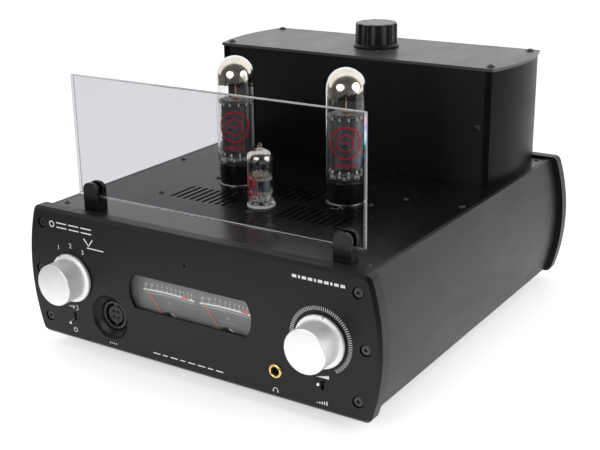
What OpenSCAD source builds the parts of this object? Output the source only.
// Tube headphone amplifier: bowed-side chassis with front and rear plates,
// tube deck, transformer cover, clear shield, knobs, toggles and meters.
// Millimetres, +Z up, floor at Z = 0, front faces -Y, X = 0 is the centre plane.

/* [Chassis] */
// Half width of the front and rear plates at mid height
plate_half_w = 166; // [158:0.5:175]
// Height of the front and rear plates
plate_h = 111; // [108:0.5:114]
// Thickness of the front and rear plates
plate_t = 12; // [11:0.5:14]
// Chamfer around the outer face of both plates
plate_chamfer = 2.6; // [1:0.2:3]
// Distance from the front face to the rear face
body_d = 358; // [352:1:370]
// Height of the rubber feet
foot_h = 10; // [6:1:14]
// Wall of the bowed side extrusions
side_wall = 3.2; // [2.6:0.2:4]

/* [Transformer cover] */
// Height of the cover above the deck, lid included
cover_h = 100.1; // [92:0.1:110]
// Half width of the cover at its front corners
cover_half_w = 136.3; // [132:0.1:138]
// Thickness of the cover sheet
cover_wall = 2; // [1.5:0.1:2.5]

/* [Controls] */
// Radius of the front knob bodies
knob_r = 17; // [15:0.5:18]
// Radius of the thin flange at the back of each front knob
knob_flange_r = 20.2; // [19:0.1:21]
// Distance the front knobs stand out of the front face
knob_out = 22; // [18:0.5:26]
// Distance of the front knob axes from the centre plane
knob_x = 118; // [116:0.5:119]
// Radius of the impedance knob at its top
imp_r = 19; // [17:0.5:19.5]
// Height of the impedance knob
imp_h = 22; // [18:0.5:26]
// Bore radius of the headphone jack, for a 6.35 mm plug
jack_bore_r = 3.2; // [3.18:0.01:3.25]

/* [Tubes] */
// Radius of the power tube glass
ptube_r = 16.4; // [15.5:0.1:17]
// Height of the power tube from the deck to the top of the glass
ptube_h = 110; // [100:1:116]
// Distance of each power tube from the centre plane
ptube_x = 54; // [50:1:58]
// Distance of the power tubes behind the front face
ptube_y = 143; // [138:1:146]
// Distance of the driver tube behind the front face
dtube_y = 100; // [94:1:104]

/* [Shield] */
// Width of the clear front shield
shield_w = 265.6; // [250:0.2:272]
// Height of the clear front shield
shield_h = 97.8; // [85:0.2:105]
// Thickness of the clear front shield
shield_t = 4.4; // [4:0.1:4.5]
// Sideways position of the shield and its clips
shield_x = 6; // [0:0.5:6]

/* [Hidden] */
$fn = 72;
rear_out = 10;
front_y = -(body_d + rear_out - knob_out) / 2;
base_z = foot_h;
deck_z = 107.5;
deck_t = 2;
plate_z0 = -1.2;
plate_mid = plate_z0 + plate_h / 2;
side_x = 151.3;
side_r = 165;
side_c = side_x - sqrt(side_r * side_r - (deck_z / 2) * (deck_z / 2));
rear_in = body_d - plate_t;
knob_z = 54.6;
lever_z = 20;
lever_x = 118.8;
lever_py = 6;
meter_x = 28;
meter_z = 28.8;
dial_y = 13;
xlr_x = -80.7;
xlr_z = 27.4;
jack_x = 79;
jack_z = 21.3;
cover_y0 = 238.8;
cover_y1 = 339.2;
cover_yc = (cover_y0 + cover_y1) / 2;
cover_bow = 7;
cover_half_d = (cover_y1 - cover_y0) / 2;
cover_r = (cover_half_d * cover_half_d + cover_bow * cover_bow) / (2 * cover_bow);
lid_t = 2.4;
lid_top = deck_z + cover_h;
lid_z = lid_top - lid_t;
shield_y = 23.6;
shield_z = 117.5;
clip_pitch = 234.4;
clip_w = 15;
face_screws = [[147.6, 96.6], [153.7, 55.4], [147.8, 14.5]];
deck_screw_y = [24, 177, 337];
vent_pitch = 6.54;
lid_screws_xy = [[131.5, 43], [131.5, -43]];

// ---- helpers: local frame has Y = 0 on the front face, Z = 0 under the chassis

module at() { translate([0, front_y, base_z]) children(); }

// Extrudes an XZ outline from y = a to y = b
module slab(a, b) { translate([0, b, 0]) rotate([90, 0, 0]) linear_extrude(b - a) children(); }

// Cylinder or cone along Y from y = a (radius r) to y = b (radius r2)
module ycyl(x, z, a, b, r, r2 = undef)
  translate([x, a, z]) rotate([-90, 0, 0])
    cylinder(h = b - a, r1 = r, r2 = is_undef(r2) ? r : r2);

module zcyl(x, y, a, b, r, r2 = undef)
  translate([x, y, a]) cylinder(h = b - a, r1 = r, r2 = is_undef(r2) ? r : r2);

module box(x0, x1, y0, y1, z0, z1) translate([x0, y0, z0]) cube([x1 - x0, y1 - y0, z1 - z0]);

module both() { children(); mirror([1, 0, 0]) children(); }

// ---- front and rear plates

plate_r = 168;
plate_rc = 6;
function plate_pts(inset) =
  let (R = plate_r - inset, xc = plate_half_w - plate_r,
       rc = plate_rc - inset, hz = plate_h / 2 - inset - rc,
       phi = asin(hz / (R - rc)),
       cx = xc + (R - rc) * cos(phi),
       right = concat(
         [for (i = [0:6]) let (a = -90 + (90 - phi) * i / 6) [cx + rc * cos(a), -hz + rc * sin(a)]],
         [for (i = [1:15]) let (a = -phi + 2 * phi * i / 16) [xc + R * cos(a), R * sin(a)]],
         [for (i = [0:6]) let (a = phi + (90 - phi) * i / 6) [cx + rc * cos(a), hz + rc * sin(a)]]))
  concat([for (p = right) [p[0], p[1] + plate_mid]],
         [for (i = [len(right) - 1:-1:0]) [-right[i][0], right[i][1] + plate_mid]]);

// Blank plate: the chamfered face is at y = 0 and the back at y = plate_t
module plate_blank() {
  slab(plate_chamfer, plate_t) polygon(plate_pts(0));
  hull() {
    slab(0, 0.01) polygon(plate_pts(plate_chamfer));
    slab(plate_chamfer, plate_chamfer + 0.01) polygon(plate_pts(0));
  }
}

// Counterbored holes for the plate screws
module plate_screw_cuts()
  both() for (p = face_screws) {
    ycyl(p[0], p[1], -1, 3.4, 4.5);
    ycyl(p[0], p[1], 3, plate_t + 1, 2.2);
  }

module window_shape() {
  union() {
    translate([-52.5, 41.7]) square([105, 28.5]);
    intersection() {
      translate([0, 41.7]) square([58.2, 28.5]);
      translate([58.2 - 24, 56]) circle(24);
    }
    intersection() {
      translate([-58.2, 41.7]) square([58.2, 28.5]);
      translate([-58.2 + 24, 56]) circle(24);
    }
  }
}

module front_plate() color("#2b2b2d") at() difference() {
  plate_blank();
  plate_screw_cuts();
  // knob bushes, with a pocket behind each
  both() { ycyl(knob_x, knob_z, -1, plate_t, 4.9); ycyl(knob_x, knob_z, 4, plate_t + 1, 16); }
  // toggle slots and pockets
  both() {
    slab(-1, 5) translate([lever_x - 1.9, lever_z - 4.3]) square([3.8, 8.6]);
    box(lever_x - 6.5, lever_x + 6.5, 3, plate_t + 1, lever_z - 8, lever_z + 8);
  }
  // dish around the balanced socket
  ycyl(xlr_x, xlr_z, -0.01, 2.4, 18.75, 16.9);
  ycyl(xlr_x, xlr_z, 2.4, 5, 16.9, 13.6);
  ycyl(xlr_x, xlr_z, 4.99, 7, 13.6, 12.3);
  ycyl(xlr_x, xlr_z, 6.9, plate_t + 1, 12.3);
  // headphone jack
  ycyl(jack_x, jack_z, -1, plate_t, 4.8);
  ycyl(jack_x, jack_z, 2.5, plate_t + 1, 9);
  // meter window with a pocket behind
  slab(-1, 3) window_shape();
  box(-61.5, 61.5, 2.4, plate_t + 1, 20.5, 78.5);
  // remote sensor
  ycyl(-1.3, 87.5, -1, plate_t + 1, 1.9);
}

module rear_plate() color("#2b2b2d") at() difference() {
  translate([0, body_d, 0]) mirror([0, 1, 0]) plate_blank();
  translate([0, body_d, 0]) mirror([0, 1, 0]) plate_screw_cuts();
  // mains inlet
  box(-124, -96, rear_in - 1, body_d + 1, 24, 44.5);
  // line inputs and outputs
  for (i = [0:3]) for (z = [34, 56]) ycyl(20 + 19 * i, z, rear_in - 1, body_d + 1, 5.2);
  // balanced inputs
  for (x = [-54, -22]) ycyl(x, 45, rear_in - 1, body_d + 1, 12.2);
}

// ---- bowed sides, bottom and deck

module side_profile() {
  intersection() {
    translate([120, 0]) square([60, deck_z]);
    difference() {
      translate([side_c, deck_z / 2]) circle(side_r, $fn = 180);
      translate([side_c, deck_z / 2]) circle(side_r - side_wall, $fn = 180);
    }
  }
}

module side_bosses() {
  for (p = face_screws) translate(p) circle(5);
  // ribs that carry the deck and the bottom plate
  translate([136, 101.3]) square([side_x - 0.5 - 136, 4]);
  translate([136, 2.2]) square([side_x - 0.5 - 136, 4]);
}

module side_panel() difference() {
  slab(plate_t, rear_in) difference() {
    union() { side_profile(); side_bosses(); }
    for (p = face_screws) translate(p) circle(1.8);
  }
  for (y = deck_screw_y) {
    zcyl(141.5, y, 101, 106, 1.3);
    zcyl(141.5, y, 1, 7, 1.3);
  }
}

module right_side_panel() color("#3a3a3d") at() side_panel();
module left_side_panel() color("#3a3a3d") at() mirror([1, 0, 0]) side_panel();

module bottom_plate() color("#303032") at() difference() {
  box(-147.6, 147.6, plate_t, rear_in, 0, 2);
  both() for (y = deck_screw_y) zcyl(141.5, y, -1, 3, 1.8);
  both() for (y = [52, 306]) zcyl(108, y, -1, 3, 2.2);
  // air slots under the board
  for (i = [-8:8]) box(i * 9 - 1.5, i * 9 + 1.5, 96, 156, -1, 3);
}

// Stadium-ended slot along Y
module vent(x, y, len) translate([x, y, deck_z - deck_t - 1]) linear_extrude(deck_t + 2) {
  translate([-1.35, 1.35]) square([2.7, len - 2.7]);
  translate([0, 1.35]) circle(1.35, $fn = 24);
  translate([0, len - 1.35]) circle(1.35, $fn = 24);
}

module top_deck() color("#333336") at() difference() {
  box(-147.7, 147.7, plate_t, rear_in, deck_z - deck_t, deck_z);
  for (i = [0:8]) {
    vent(26.5 + vent_pitch * i, 81.5, 33);
    vent(-26.5 - vent_pitch * i, 81.5, 33);
    vent(-26.16 + vent_pitch * i, 124, 33);
  }
  both() zcyl(ptube_x, ptube_y, deck_z - 5, deck_z + 1, 14.3);
  zcyl(0, dtube_y, deck_z - 5, deck_z + 1, 10.2);
  both() for (y = deck_screw_y) zcyl(141.5, y, deck_z - 5, deck_z + 1, 1.8);
  both() for (p = [[92, 85], [76.5, 144], [94, 172]]) zcyl(p[0], p[1], deck_z - 5, deck_z + 1, 1.8);
  // wire way under the cover
  box(-30, 30, 322, 334, deck_z - 5, deck_z + 1);
}

// ---- feet and screws

module rubber_feet() color("#161617") at() both() for (y = [52, 306]) difference() {
  translate([108, y, -foot_h]) rotate_extrude()
    polygon([[0, 0], [10, 0], [11.2, 1.2], [12.5, foot_h], [0, foot_h]]);
  zcyl(108, y, -foot_h - 1, -3, 4.6);
  zcyl(108, y, -foot_h - 1, 1, 2.1);
}

// Screw along +Z (head up): head radius hr and height hh, shank radius sr and length sl
module screw(hr, hh, sr, sl, hex = 1.5) difference() {
  union() { cylinder(h = hh, r = hr, $fn = 40); translate([0, 0, -sl]) cylinder(h = sl + 0.2, r = sr, $fn = 24); }
  translate([0, 0, hh - hh * 0.62]) cylinder(h = hh, r = hex, $fn = 6);
}

// Domed screw head on a sheet surface
module dome_screw(hr, hh, sr, sl) difference() {
  union() {
    intersection() {
      translate([0, 0, hh - (hr * hr + hh * hh) / (2 * hh)]) sphere(r = (hr * hr + hh * hh) / (2 * hh), $fn = 64);
      cylinder(h = hh + 1, r = hr + 1);
    }
    translate([0, 0, -sl]) cylinder(h = sl + 0.2, r = sr, $fn = 24);
  }
  translate([0, 0, hh * 0.35]) cylinder(h = hh, r = hr * 0.42, $fn = 6);
}

module front_plate_screws() color("#77777a") at() both() for (p = face_screws)
  translate([p[0], 3.4, p[1]]) rotate([90, 0, 0]) screw(3.7, 2.5, 1.75, 17);

module rear_plate_screws() color("#77777a") at() both() for (p = face_screws)
  translate([p[0], body_d - 3.4, p[1]]) rotate([-90, 0, 0]) screw(3.7, 2.5, 1.75, 17);

module deck_screws() color("#1d1d1f") at() both() {
  for (y = deck_screw_y) translate([141.5, y, deck_z]) dome_screw(2.9, 1.3, 1.25, 6);
  for (p = [[92, 85], [76.5, 144], [94, 172]]) translate([p[0], p[1], deck_z]) dome_screw(2.6, 1.2, 1.5, 7);
}

module bottom_screws() color("#8a8a8d") at() both() {
  for (y = deck_screw_y) translate([141.5, y, 0]) mirror([0, 0, 1]) dome_screw(2.9, 1.3, 1.25, 5.5);
  for (y = [52, 306]) translate([108, y, -3]) mirror([0, 0, 1]) screw(4, 2.4, 2, 8);
}

// ---- transformer cover

module cover_front_panel() color("#2a2a2c") at() difference() {
  box(-130.4, 130.4, cover_y0 + 0.4, cover_y0 + 0.4 + cover_wall, deck_z, lid_z);
  both() ycyl(124.7, 156.7, cover_y0 - 1, cover_y0 + 5, 1.7);
}

module cover_back_panel() color("#2a2a2c") at() difference() {
  box(-130.4, 130.4, cover_y1 - 0.4 - cover_wall, cover_y1 - 0.4, deck_z, lid_z);
  both() ycyl(124.7, 156.7, cover_y1 - 5, cover_y1 + 1, 1.7);
}

// Bowed side sheet with a turned-in flange at each end
module cover_side() translate([0, 0, deck_z]) linear_extrude(lid_z - deck_z) {
  difference() {
    intersection() {
      translate([cover_half_w + cover_bow - cover_r, cover_yc]) circle(cover_r, $fn = 180);
      translate([100, cover_y0]) square([60, cover_y1 - cover_y0]);
    }
    translate([cover_half_w + cover_bow - cover_r, cover_yc]) circle(cover_r - cover_wall, $fn = 180);
  }
  for (m = [0, 1]) translate([0, cover_yc]) mirror([0, m]) translate([0, -cover_yc]) {
    translate([130.8, cover_y0]) square([cover_half_w - 130.8, cover_wall]);
    translate([118, cover_y0 + 0.6 + cover_wall]) square([14.8, 1.6]);
    translate([130.8, cover_y0]) square([2, 4.2]);
  }
}

// The same sheet with its screw lugs under the lid and screw holes in the flanges
module cover_side_panel() difference() {
  union() {
    cover_side();
    for (p = lid_screws_xy) zcyl(p[0], cover_yc + p[1], lid_z - 12, lid_z, 5.2);
  }
  for (p = lid_screws_xy) zcyl(p[0], cover_yc + p[1], lid_z - 13, lid_z + 1, 1.75);
  ycyl(124.7, 156.7, cover_y0, cover_y1, 1.4);
}
module cover_right_side() color("#2a2a2c") at() cover_side_panel();
module cover_left_side() color("#2a2a2c") at() mirror([1, 0, 0]) cover_side_panel();

module cover_lid() color("#949496") at() difference() {
  intersection() {
    translate([-160, cover_y0 - 1.2, lid_z]) cube([320, cover_y1 - cover_y0 + 2.4, lid_t]);
    translate([137.4 + 8 - 171, cover_yc, lid_z - 1]) cylinder(h = 5, r = 171, $fn = 180);
    translate([-137.4 - 8 + 171, cover_yc, lid_z - 1]) cylinder(h = 5, r = 171, $fn = 180);
  }
  both() for (p = lid_screws_xy) zcyl(p[0], cover_yc + p[1], lid_z - 1, lid_top + 1, 1.9);
  zcyl(0, cover_yc, lid_z - 1, lid_top + 1, 4.9);
}

module lid_screws() color("#1d1d1f") at() both() for (p = lid_screws_xy)
  translate([p[0], cover_yc + p[1], lid_top]) dome_screw(4, 2.1, 1.7, 10);

module cover_screws() color("#7d7d80") at() both() {
  translate([124.7, cover_y0 + 0.4, 156.7]) rotate([90, 0, 0]) dome_screw(2.6, 1.3, 1.35, 7);
  translate([124.7, cover_y1 - 0.4, 156.7]) rotate([-90, 0, 0]) dome_screw(2.6, 1.3, 1.35, 7);
}

// ---- knobs with shafts and switches

// Front knob on the Y axis, with its back at y = -0.6
module front_knob(angle) rotate([0, angle, 0]) difference() {
  union() {
    ycyl(0, 0, -3.4, -0.6, knob_flange_r);
    ycyl(0, 0, -4.6, -3.4, knob_r + 0.4, knob_flange_r - 1);
    ycyl(0, 0, -knob_out + 0.8, -4, knob_r);
    ycyl(0, 0, -knob_out, -knob_out + 0.8, knob_r - 0.8, knob_r);
  }
  ycyl(0, 0, -13, 1, 3.02);
  ycyl(0, 0, -3, 1, 9.5);
  // index mark on the flange
  box(-0.5, 0.5, -3.9, -2.9, knob_r + 0.8, knob_flange_r + 1);
}

module shaft_y(len) difference() { ycyl(0, 0, -12.9, len, 3); box(-4, 4, -13, -5, 2.2, 4); }

module volume_knob() color("#d8d8d6") at() translate([knob_x, 0, knob_z]) front_knob(11.3);
module input_knob() color("#d8d8d6") at() translate([-knob_x, 0, knob_z]) front_knob(-30);
module volume_shaft() color("#b0b0b2") at() translate([knob_x, 0, knob_z]) shaft_y(14);
module input_shaft() color("#b0b0b2") at() translate([-knob_x, 0, knob_z]) shaft_y(14);

// Bush and body behind the plate
module control_body(r, len, x) difference() {
  union() {
    ycyl(x, knob_z, -0.2, 12, 4.7);
    ycyl(x, knob_z, 4.2, 6.4, 7.2);
    ycyl(x, knob_z, 8, 8 + len, r);
  }
  ycyl(x, knob_z, -1, 15, 3.06);
}

module volume_pot() color("#6f7a6f") at() {
  control_body(13.5, 24, knob_x);
  for (i = [-1:1]) box(knob_x + i * 5 - 0.8, knob_x + i * 5 + 0.8, 14, 15, knob_z - 19, knob_z - 12.5);
}
module input_switch() color("#8a7a50") at() {
  control_body(13.5, 20, -knob_x);
  for (i = [0:5]) rotate_about(-knob_x, knob_z, i * 60) box(-knob_x - 0.7, -knob_x + 0.7, 16, 24, knob_z + 12.5, knob_z + 15.2);
}
module rotate_about(x, z, a) translate([x, 0, z]) rotate([0, a, 0]) translate([-x, 0, -z]) children();

// Fluted knob on the lid
module impedance_knob() color("#1b1b1c") at() translate([0, cover_yc, lid_top]) difference() {
  union() {
    zcyl(0, 0, 0.4, 1.8, imp_r + 1.8);
    zcyl(0, 0, 1.8, 3.6, imp_r + 1.8, imp_r + 0.5);
    zcyl(0, 0, 3.6, imp_h - 1, imp_r + 0.5, imp_r);
    zcyl(0, 0, imp_h - 1, imp_h, imp_r, imp_r - 1);
  }
  for (i = [0:9]) rotate([0, 0, i * 36 + 18]) translate([imp_r + 7.7, 0, 3.2]) cylinder(h = imp_h, r = 9, $fn = 64);
  zcyl(0, 0, -1, 14, 3.02);
  zcyl(0, 0, -1, 2.6, 9.6);
}
module impedance_shaft() color("#b0b0b2") at() translate([0, cover_yc, lid_top])
  difference() { zcyl(0, 0, -16, 13.9, 3); box(-4, 4, 2.2, 4, 4, 14); }
module impedance_switch() color("#8a7a50") at() translate([0, cover_yc, lid_top]) difference() {
  union() {
    zcyl(0, 0, -12, 2.2, 4.7);
    zcyl(0, 0, 0, 2, 7.2);
    zcyl(0, 0, -30, -lid_t - 1, 15);
    for (i = [0:11]) rotate([0, 0, i * 30]) box(14, 17.4, -0.7, 0.7, -18, -16.5);
  }
  zcyl(0, 0, -17, 3, 3.06);
}

// ---- toggle switches

module lever(x, tilt) translate([x, lever_py, lever_z]) rotate([tilt, 0, 0]) {
  translate([0, -1.5, 0]) rotate([90, 0, 0]) cylinder(h = 10.6, r1 = 1.0, r2 = 1.25, $fn = 32);
  translate([0, -12.1, 0]) rotate([90, 0, 0]) cylinder(h = 0.9, r1 = 1.25, r2 = 0.9, $fn = 32);
  rotate([0, 90, 0]) translate([0, 0, -2]) cylinder(h = 4, r = 1.8, $fn = 32);
}
module power_lever() color("#e8e8e8") at() lever(-lever_x, 16);
module gain_lever() color("#e8e8e8") at() lever(lever_x, -16);

module toggle_body(x) difference() {
  box(x - 6.3, x + 6.3, 4.2, 19, lever_z - 7.4, lever_z + 7.4);
  // pivot bore and the room the lever swings in
  translate([x - 2.4, lever_py, lever_z]) rotate([0, 90, 0]) cylinder(h = 4.8, r = 1.86, $fn = 40);
  box(x - 1.9, x + 1.9, 4, lever_py + 0.2, lever_z - 3.6, lever_z + 3.6);
}
module power_switch() color("#222222") at() toggle_body(-lever_x);
module gain_switch() color("#222222") at() toggle_body(lever_x);

// ---- sockets on the front plate

module xlr_socket() color("#151516") at() difference() {
  union() {
    difference() { ycyl(xlr_x, xlr_z, 6.4, 26, 12); ycyl(xlr_x, xlr_z, 5, 22, 9.7); }
    difference() { ycyl(xlr_x, xlr_z, 12.2, 14.2, 17); ycyl(xlr_x, xlr_z, 12, 15, 11); }
    ycyl(xlr_x, xlr_z, 7.4, 23, 7.4);
  }
  for (a = [45:90:315]) ycyl(xlr_x + 3.4 * cos(a), xlr_z + 3.4 * sin(a), 6, 19, 1.15);
}

module headphone_jack() color("#1a1a1b") at() difference() {
  union() {
    ycyl(jack_x, jack_z, 0.2, 12, 4.6);
    ycyl(jack_x, jack_z, 3, 12, 8);
    box(jack_x - 9, jack_x + 9, 12, 34, jack_z - 10, jack_z + 10);
  }
  ycyl(jack_x, jack_z, -1, 33, jack_bore_r);
}
module jack_nut() color("#d9b45a") at() difference() {
  union() { ycyl(jack_x, jack_z, -1.3, 0, 5.2, 5.6); ycyl(jack_x, jack_z, -1.6, -1.3, 4.9, 5.2); }
  ycyl(jack_x, jack_z, -2, 1, 3.5);
}

// ---- meters

module meter_window() color("#b8c4c8", 0.35) at() slab(2.5, 4.3) {
  translate([-61, 38]) square([122, 36]);
}

// Open-fronted case; the dial sits inside it
module meter_case() difference() {
  box(0.4, 60.9, 4.5, 30, 21, 78);
  box(1.6, 59.7, 4.4, 27, 22.2, 76.8);
  // open to the other meter in front of the dial
  box(0.3, 1.7, 4.4, dial_y + 1.1, 22.2, 76.8);
}
module meter_cases() color("#8d8f90") at() both() difference() { meter_case(); ycyl(meter_x, meter_z, 20, 31, 1.36); }
module meter_dials() color("#a3a5a6") at() both() difference() {
  box(0.1, 59.4, dial_y, dial_y + 1, 22.5, 76.5);
  ycyl(meter_x, meter_z, dial_y - 1, dial_y + 2, 2.2);
}
// Needle, pivot boss and tail, drawn at its rest angle
module needle(x) translate([x, 0, meter_z]) rotate([0, -37.3, 0]) {
  ycyl(0, 0, dial_y - 3.4, dial_y + 16.5, 1.3);
  ycyl(0, 0, dial_y - 3.4, dial_y - 2, 2.6);
  box(-0.4, 0.4, dial_y - 3, dial_y - 2.4, 1, 32);
  box(-1, 1, dial_y - 3, dial_y - 2.4, -6, -1);
}
module left_needle() color("#c2352c") at() needle(-meter_x);
module right_needle() color("#c2352c") at() needle(meter_x);

module remote_sensor() color("#0e0e0f") at() ycyl(-1.3, 87.5, 1, 20, 1.85);

// ---- clear shield and its clips

module glass_shield() color("#9aa4a8", 0.4) at()
  box(shield_x - shield_w / 2, shield_x + shield_w / 2, shield_y, shield_y + shield_t, shield_z, shield_z + shield_h);

module clip(x) translate([x, 0, 0]) difference() {
  slab(20, 31.6) {
    translate([-clip_w / 2, deck_z]) square([clip_w, 16]);
    translate([-clip_w / 2 + 6, deck_z]) square([clip_w - 12, 22]);
    for (s = [-1, 1]) translate([s * (clip_w / 2 - 6), deck_z + 16]) circle(6);
  }
  box(-clip_w, clip_w, shield_y - 0.1, shield_y + shield_t + 0.1, shield_z, shield_z + 30);
  box(-clip_w, clip_w, shield_y + 1.6, shield_y + shield_t - 1.6, deck_z + 6, shield_z + 30);
}
module shield_clips() color("#141416") at() for (s = [-1, 1]) clip(shield_x + s * clip_pitch / 2);
module clip_screws() color("#1d1d1f") at() for (s = [-1, 1])
  translate([shield_x + s * clip_pitch / 2, 31.6, deck_z + 3.4]) rotate([-90, 0, 0]) difference() {
    cylinder(h = 4.6, r = 3, $fn = 40);
    translate([0, 0, 3]) cylinder(h = 3, r = 1.2, $fn = 6);
  }

// ---- vacuum tubes

pbase_h = 18;
psock_h = 1.5;
// Hollow glass: straight wall, domed top, drawn in to the base
module power_glass() rotate_extrude() difference() {
  intersection() {
    union() {
      translate([0, psock_h + pbase_h + 4]) square([ptube_r, ptube_h - ptube_r - psock_h - pbase_h - 4]);
      translate([0, ptube_h - ptube_r]) circle(ptube_r);
      translate([0, psock_h + pbase_h - 2]) square([13.2, 8]);
      polygon([[0, psock_h + pbase_h - 0.2], [14, psock_h + pbase_h - 0.2], [ptube_r, psock_h + pbase_h + 4], [0, psock_h + pbase_h + 4]]);
    }
    square([40, 200]);
  }
  intersection() {
    union() {
      translate([0, psock_h + pbase_h + 5]) square([ptube_r - 1.2, ptube_h - ptube_r - psock_h - pbase_h - 5]);
      translate([0, ptube_h - ptube_r]) circle(ptube_r - 1.2);
    }
    square([40, 200]);
  }
}
// Moulded base with eight pins and a central key post
module power_base() {
  rotate_extrude() difference() {
    polygon([[0, psock_h + 0.3], [13.8, psock_h + 0.3], [14.4, psock_h + 0.9], [14.4, psock_h + pbase_h - 0.6], [14.1, psock_h + pbase_h - 0.2], [0, psock_h + pbase_h - 0.2]]);
    translate([0, psock_h + pbase_h - 2.2]) square([13.4, 4]);
  }
  zcyl(0, 0, psock_h - 11, psock_h + 1, 3.95);
  for (i = [0:7]) rotate([0, 0, i * 45 + 22.5]) zcyl(8.75, 0, psock_h - 11, psock_h + 1, 1.19, $fn = 24);
}
// Anode, cathode rods and mica spacers
module power_plates() {
  b = psock_h + pbase_h + 6;
  for (z = [b, b + 46.5]) zcyl(0, 0, z, z + 0.8, 14.6);
  difference() {
    box(-11.5, 11.5, -7.5, 7.5, b + 0.8, b + 46.5);
    box(-10.5, 10.5, -6.5, 6.5, b + 0.8, b + 46.5);
  }
  for (s = [-1, 1]) zcyl(s * 4.4, 0, b - 0.5, b + 56, 0.8, $fn = 24);
  zcyl(0, 0, b - 0.5, b + 56, 1.5, $fn = 32);
}
module at_ptube(s) at() translate([s * ptube_x, ptube_y, deck_z]) children();
module left_tube_glass() color("#c8ccd0", 0.35) at_ptube(-1) power_glass();
module right_tube_glass() color("#c8ccd0", 0.35) at_ptube(1) power_glass();
module left_tube_base() color("#121213") at_ptube(-1) power_base();
module right_tube_base() color("#121213") at_ptube(1) power_base();
module left_tube_plates() color("#7c7f82") at_ptube(-1) power_plates();
module right_tube_plates() color("#7c7f82") at_ptube(1) power_plates();

module octal_sockets() color("#c9c9c6") at() both() translate([ptube_x, ptube_y, deck_z]) difference() {
  union() {
    difference() { zcyl(0, 0, 0, 1.3, 17); zcyl(0, 0, -1, 2, 15.3); }
    zcyl(0, 0, -14, 0, 14);
    zcyl(0, 0, 0, 1.3, 15.4);
  }
  zcyl(0, 0, -13, 2, 4.0);
  for (i = [0:7]) rotate([0, 0, i * 45 + 22.5]) zcyl(8.75, 0, -13, 2, 1.25, $fn = 24);
}

dbase = 3.4;
module driver_tube_glass() color("#c8ccd0", 0.35) at() translate([0, dtube_y, deck_z]) {
  rotate_extrude() difference() {
    polygon([[0, dbase], [10.4, dbase], [10.9, dbase + 1.4], [10.9, 41], [10.2, 44], [7.6, 46.2], [3, 47.6], [1.9, 48.8], [1.3, 51], [0, 52]]);
    polygon([[0, dbase + 3.5], [10.1, dbase + 3.5], [10.1, 40.8], [9.5, 43.2], [7.2, 45.2], [2, 46.6], [0, 46.8]]);
  }
  for (i = [0:8]) rotate([0, 0, 108 + i * 36]) zcyl(5.95, 0, dbase - 6.4, dbase + 0.5, 0.51, $fn = 24);
}
module driver_tube_plates() color("#8b8e90") at() translate([0, dtube_y, deck_z]) {
  for (z = [11.2, 22.6]) zcyl(0, 0, z, z + 0.6, 9);
  for (s = [-1, 1]) translate([s * 4.1, 0, 0]) difference() { box(-3.2, 3.2, -4.6, 4.6, 11.8, 22.6); box(-2.6, 2.6, -4, 4, 11.8, 22.6); }
  for (s = [-1, 1]) zcyl(s * 4.1, 0, 7.5, 27, 0.7, $fn = 24);
}
module driver_socket() color("#e4ddc8") at() translate([0, dtube_y, deck_z]) difference() {
  union() { zcyl(0, 0, 0, 2.2, 11.5); zcyl(0, 0, 2.2, 3, 11.5, 10.8); zcyl(0, 0, -12, 0, 9.9); }
  for (i = [0:8]) rotate([0, 0, 108 + i * 36]) zcyl(5.95, 0, -6, 4, 0.57, $fn = 24);
}

// ---- transformers, board and capacitors

module power_transformer() color("#4d4a46") at() {
  difference() {
    box(-48, 48, 252, 320, deck_z, deck_z + 62);
    box(-32, -16, 251, 321, deck_z + 14, deck_z + 48);
    box(16, 32, 251, 321, deck_z + 14, deck_z + 48);
  }
  for (s = [-1, 1]) box(s * 24 - 7.6, s * 24 + 7.6, 246, 326, deck_z + 14.4, deck_z + 47.6);
}
module output_transformers() color("#4d4a46") at() both() {
  difference() {
    box(62, 118, 262, 316, deck_z, deck_z + 66);
    box(72, 82, 261, 317, deck_z + 12, deck_z + 54);
    box(98, 108, 261, 317, deck_z + 12, deck_z + 54);
  }
  for (x = [72.4, 98.4]) box(x, x + 9.2, 257, 321, deck_z + 12.4, deck_z + 53.6);
}
module main_board() color("#2f5a3a") at() {
  difference() {
    box(-100, 100, 70, 250, 12, 13.6);
    for (x = [-94, 94]) for (y = [78, 242]) zcyl(x, y, 11, 15, 1.6);
  }
  for (x = [-94, 94]) for (y = [78, 242]) difference() { zcyl(x, y, 2, 12, 3.5, $fn = 6); zcyl(x, y, 1, 13, 1.6); }
}
module filter_capacitors() color("#20304a") at() for (i = [0:3]) {
  zcyl(-66 + i * 44, 215, 13.6, 58, 12.5);
  zcyl(-66 + i * 44, 215, 58, 58.6, 11);
}

// ---- rear connectors

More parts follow.
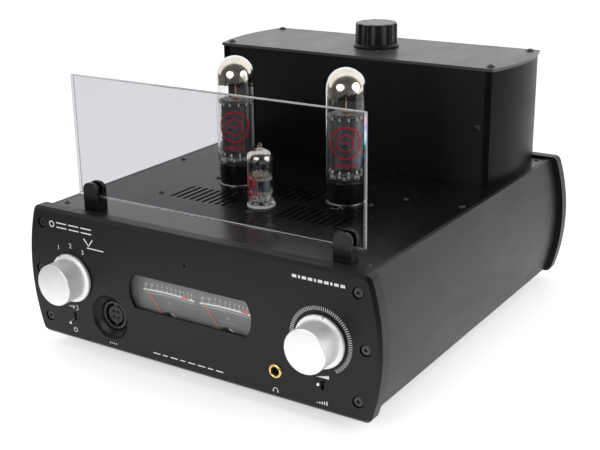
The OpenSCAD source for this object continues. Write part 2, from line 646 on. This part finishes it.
module mains_inlet() color("#161617") at() difference() {
  union() {
    box(-123.8, -96.2, 328, body_d + 0.5, 24.2, 44.3);
    box(-127, -93, body_d, body_d + 2.5, 20, 48.5);
  }
  difference() {
    box(-122.2, -97.8, body_d - 15, body_d + 3, 26.1, 42.4);
    for (p = [[-117, 32], [-110, 36.4], [-103, 32]]) box(p[0] - 1, p[0] + 1, body_d - 16, body_d - 3.6, p[1] - 2, p[1] + 2);
  }
}
module rca_jacks() color("#d9c48a") at() for (i = [0:3]) for (z = [34, 56]) difference() {
  union() {
    ycyl(20 + 19 * i, z, rear_in - 6, body_d + rear_out, 4.15);
    ycyl(20 + 19 * i, z, body_d, body_d + 1.6, 7);
  }
  ycyl(20 + 19 * i, z, body_d, body_d + rear_out + 1, 1.65);
}
module balanced_inputs() color("#9a9a9c") at() for (x = [-54, -22]) difference() {
  union() {
    ycyl(x, 45, rear_in - 8, body_d + 0.6, 12);
    difference() { ycyl(x, 45, body_d, body_d + 1.8, 14.5); ycyl(x, 45, body_d - 1, body_d + 3, 9.9); }
  }
  difference() { ycyl(x, 45, rear_in - 4, body_d + 3, 9.8); ycyl(x, 45, rear_in - 5, body_d + 0.4, 7.4); }
  for (a = [90, 210, 330]) ycyl(x + 3.5 * cos(a), 45 + 3.5 * sin(a), rear_in - 2, body_d + 3, 1.3);
}

front_plate();
rear_plate();
left_side_panel();
right_side_panel();
bottom_plate();
top_deck();
rubber_feet();
front_plate_screws();
rear_plate_screws();
deck_screws();
bottom_screws();
cover_front_panel();
cover_left_side();
cover_right_side();
cover_back_panel();
cover_lid();
lid_screws();
cover_screws();
impedance_knob();
impedance_shaft();
impedance_switch();
input_knob();
input_shaft();
input_switch();
volume_knob();
volume_shaft();
volume_pot();
power_lever();
power_switch();
gain_lever();
gain_switch();
xlr_socket();
headphone_jack();
jack_nut();
meter_window();
meter_cases();
meter_dials();
left_needle();
right_needle();
remote_sensor();
glass_shield();
shield_clips();
clip_screws();
left_tube_glass();
left_tube_base();
left_tube_plates();
right_tube_glass();
right_tube_base();
right_tube_plates();
driver_tube_glass();
driver_tube_plates();
octal_sockets();
driver_socket();
power_transformer();
output_transformers();
main_board();
filter_capacitors();
mains_inlet();
rca_jacks();
balanced_inputs();
